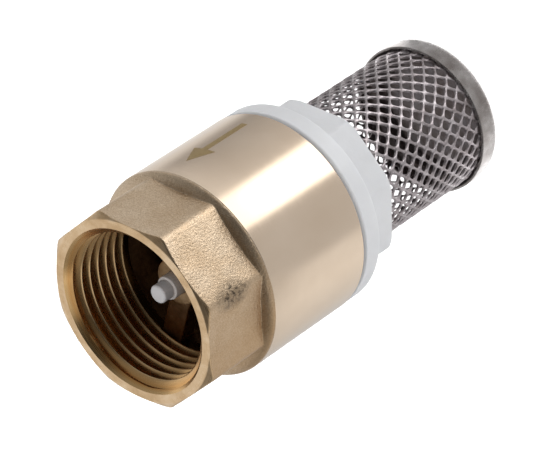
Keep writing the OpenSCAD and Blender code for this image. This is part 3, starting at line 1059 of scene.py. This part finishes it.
def glow_ring(name, near, far, glow):
    """A flat ring on the floor that only glossy surfaces see, its glow graded by direction in degrees."""
    brightest = max(strength for _, strength in glow)
    m = bpy.data.materials.new(name)
    m.use_nodes = True
    tree = m.node_tree
    tree.nodes.clear()
    where = node(tree, "ShaderNodeSeparateXYZ", {0: place(tree)})
    angle = maths(tree, "ARCTAN2", where.outputs["Y"], where.outputs["X"])
    turn = levels(tree, angle, -math.pi, math.pi)
    stops = [((degrees + 180) / 360, (strength / brightest,) * 3) for degrees, strength in glow]
    strength = maths(tree, "MULTIPLY", ramp(tree, turn, stops), brightest)
    emission = node(tree, "ShaderNodeEmission", {"Color": (1, 1, 1, 1), "Strength": strength})
    out = node(tree, "ShaderNodeOutputMaterial")
    tree.links.new(emission.outputs[0], out.inputs["Surface"])
    steps, lift = 96, 0.2 * MM
    angles = [TURN * k / steps for k in range(steps)]
    verts = [(r * math.cos(a), r * math.sin(a), lift) for a in angles for r in (near, far)]
    faces = [(2 * k, 2 * k + 1, 2 * ((k + 1) % steps) + 1, 2 * ((k + 1) % steps)) for k in range(steps)]
    obj = new_object(name, verts, faces, [m])
    obj.visible_camera = False
    obj.visible_shadow = False
    obj.visible_diffuse = False


def only_lights(light, receivers):
    """Keeps a light to the things it is meant for."""
    group = bpy.data.collections.new(light.name + "_receivers")
    for obj in receivers:
        group.objects.link(obj)
    light.light_linking.receiver_collection = group


def pool(name, place_at, aim, radius, power):
    """A spotlight that brightens a round pool of the floor and stays out of reflections."""
    light = bpy.data.lights.new(name, "SPOT")
    direction = Vector(aim) - Vector(place_at)
    light.spot_size = 2 * math.atan(radius / direction.length)
    light.spot_blend = 0.45
    light.shadow_soft_size = 0.12
    light.energy = power
    light.use_shadow = False
    obj = bpy.data.objects.new(name, light)
    bpy.context.scene.collection.objects.link(obj)
    obj.location = place_at
    obj.rotation_euler = direction.to_track_quat("-Z", "Y").to_euler()
    return obj


def softbox(name, place_at, aim, size, power):
    """A square soft light aimed at a point, which lights matt surfaces and stays out of reflections."""
    light = bpy.data.lights.new(name, "AREA")
    light.size = size
    light.energy = power
    obj = bpy.data.objects.new(name, light)
    bpy.context.scene.collection.objects.link(obj)
    obj.location = place_at
    direction = Vector(aim) - Vector(place_at)
    obj.rotation_euler = direction.to_track_quat("-Z", "Y").to_euler()
    obj.visible_glossy = False


def world():
    """A pale surround: white with a dark patch on the backdrop's side, dim with a pale patch elsewhere."""
    w = bpy.data.worlds.new("surround")
    w.use_nodes = True
    tree = w.node_tree
    direction = node(tree, "ShaderNodeTexCoord").outputs["Generated"]
    part = node(tree, "ShaderNodeSeparateXYZ", {0: direction}).outputs
    overhead = levels(tree, part["X"], -0.1, 0.4, 0.06, 0.3)
    high = levels(tree, part["Z"], 0.0, 0.6)
    dim = maths(tree, "ADD", maths(tree, "MULTIPLY", high, overhead), levels(tree, high, 0.0, 1.0, 0.45, 0.0))
    pale = levels(tree, along(tree, direction, BACKDROP_SIDE), -0.12, 0.12)
    unshaded = levels(tree, along(tree, direction, SHADED_SIDE), 0.84, 0.93, 1.0, 0.14)
    pale = maths(tree, "MULTIPLY", pale, unshaded)
    pale = maths(tree, "MULTIPLY", pale, levels(tree, part["Z"], 0.66, 0.8, 1.0, 0.14))
    light = maths(tree, "ADD", maths(tree, "MULTIPLY", dim, maths(tree, "SUBTRACT", 1.0, pale)), pale)
    patch = levels(tree, along(tree, direction, LEFT_SIDE), 0.87, 0.95, 0.0, 0.7)
    light = maths(tree, "MAXIMUM", light, patch)
    background = tree.nodes["Background"]
    background.inputs["Color"].default_value = (1, 1, 1, 1)
    tree.links.new(light, background.inputs["Strength"])
    bpy.context.scene.world = w


def camera(aim, azimuth, elevation, distance, roll, lens):
    """A camera that looks at a point. Its azimuth, elevation and roll about its line of sight are degrees."""
    az, el, turn = math.radians(azimuth), math.radians(elevation), math.radians(roll)
    back = Vector((math.sin(az) * math.cos(el), -math.cos(az) * math.cos(el), math.sin(el)))
    side = Vector((math.cos(az), math.sin(az), 0))
    above = back.cross(side)
    up = above * math.cos(turn) + side * math.sin(turn)
    right = up.cross(back)
    data = bpy.data.cameras.new("camera")
    data.lens = lens
    data.sensor_width = 36
    data.clip_start = 0.01
    data.clip_end = 20
    obj = bpy.data.objects.new("camera", data)
    bpy.context.scene.collection.objects.link(obj)
    matrix = Matrix((right, up, back)).transposed().to_4x4()
    matrix.translation = Vector(aim) + back * distance
    obj.matrix_world = matrix
    bpy.context.scene.camera = obj


ground = floor()
world()
glow_ring("mesh_card", CAP_RING_R, MESH_RING_R, MESH_GLOW)
glow_ring("surround_card", MESH_RING_R, CARD_RING_R, CARD_GLOW)
glow_ring("far_card", CARD_RING_R, FAR_RING_R, FAR_GLOW)
glow_ring("cap_card", CAP_HIGH.x + 0.2 * MM, CAP_RING_R, CAP_GLOW)
only_lights(pool("floor_pool", (0.10, 0.10, 0.7), (0.034, 0.035, 0), radius=0.3, power=20), [ground])
softbox("front_fill", (-0.45, -0.72, 0.75), VALVE_MIDDLE, size=1.2, power=4.6)
softbox("top_fill", (-0.1, -0.1, 0.9), VALVE_MIDDLE, size=0.6, power=3.6)
camera(CAMERA_AIM, azimuth=-45.38, elevation=39.46, distance=0.56974, roll=123.77, lens=245.78)
bpy.context.scene.view_settings.view_transform = "Standard"
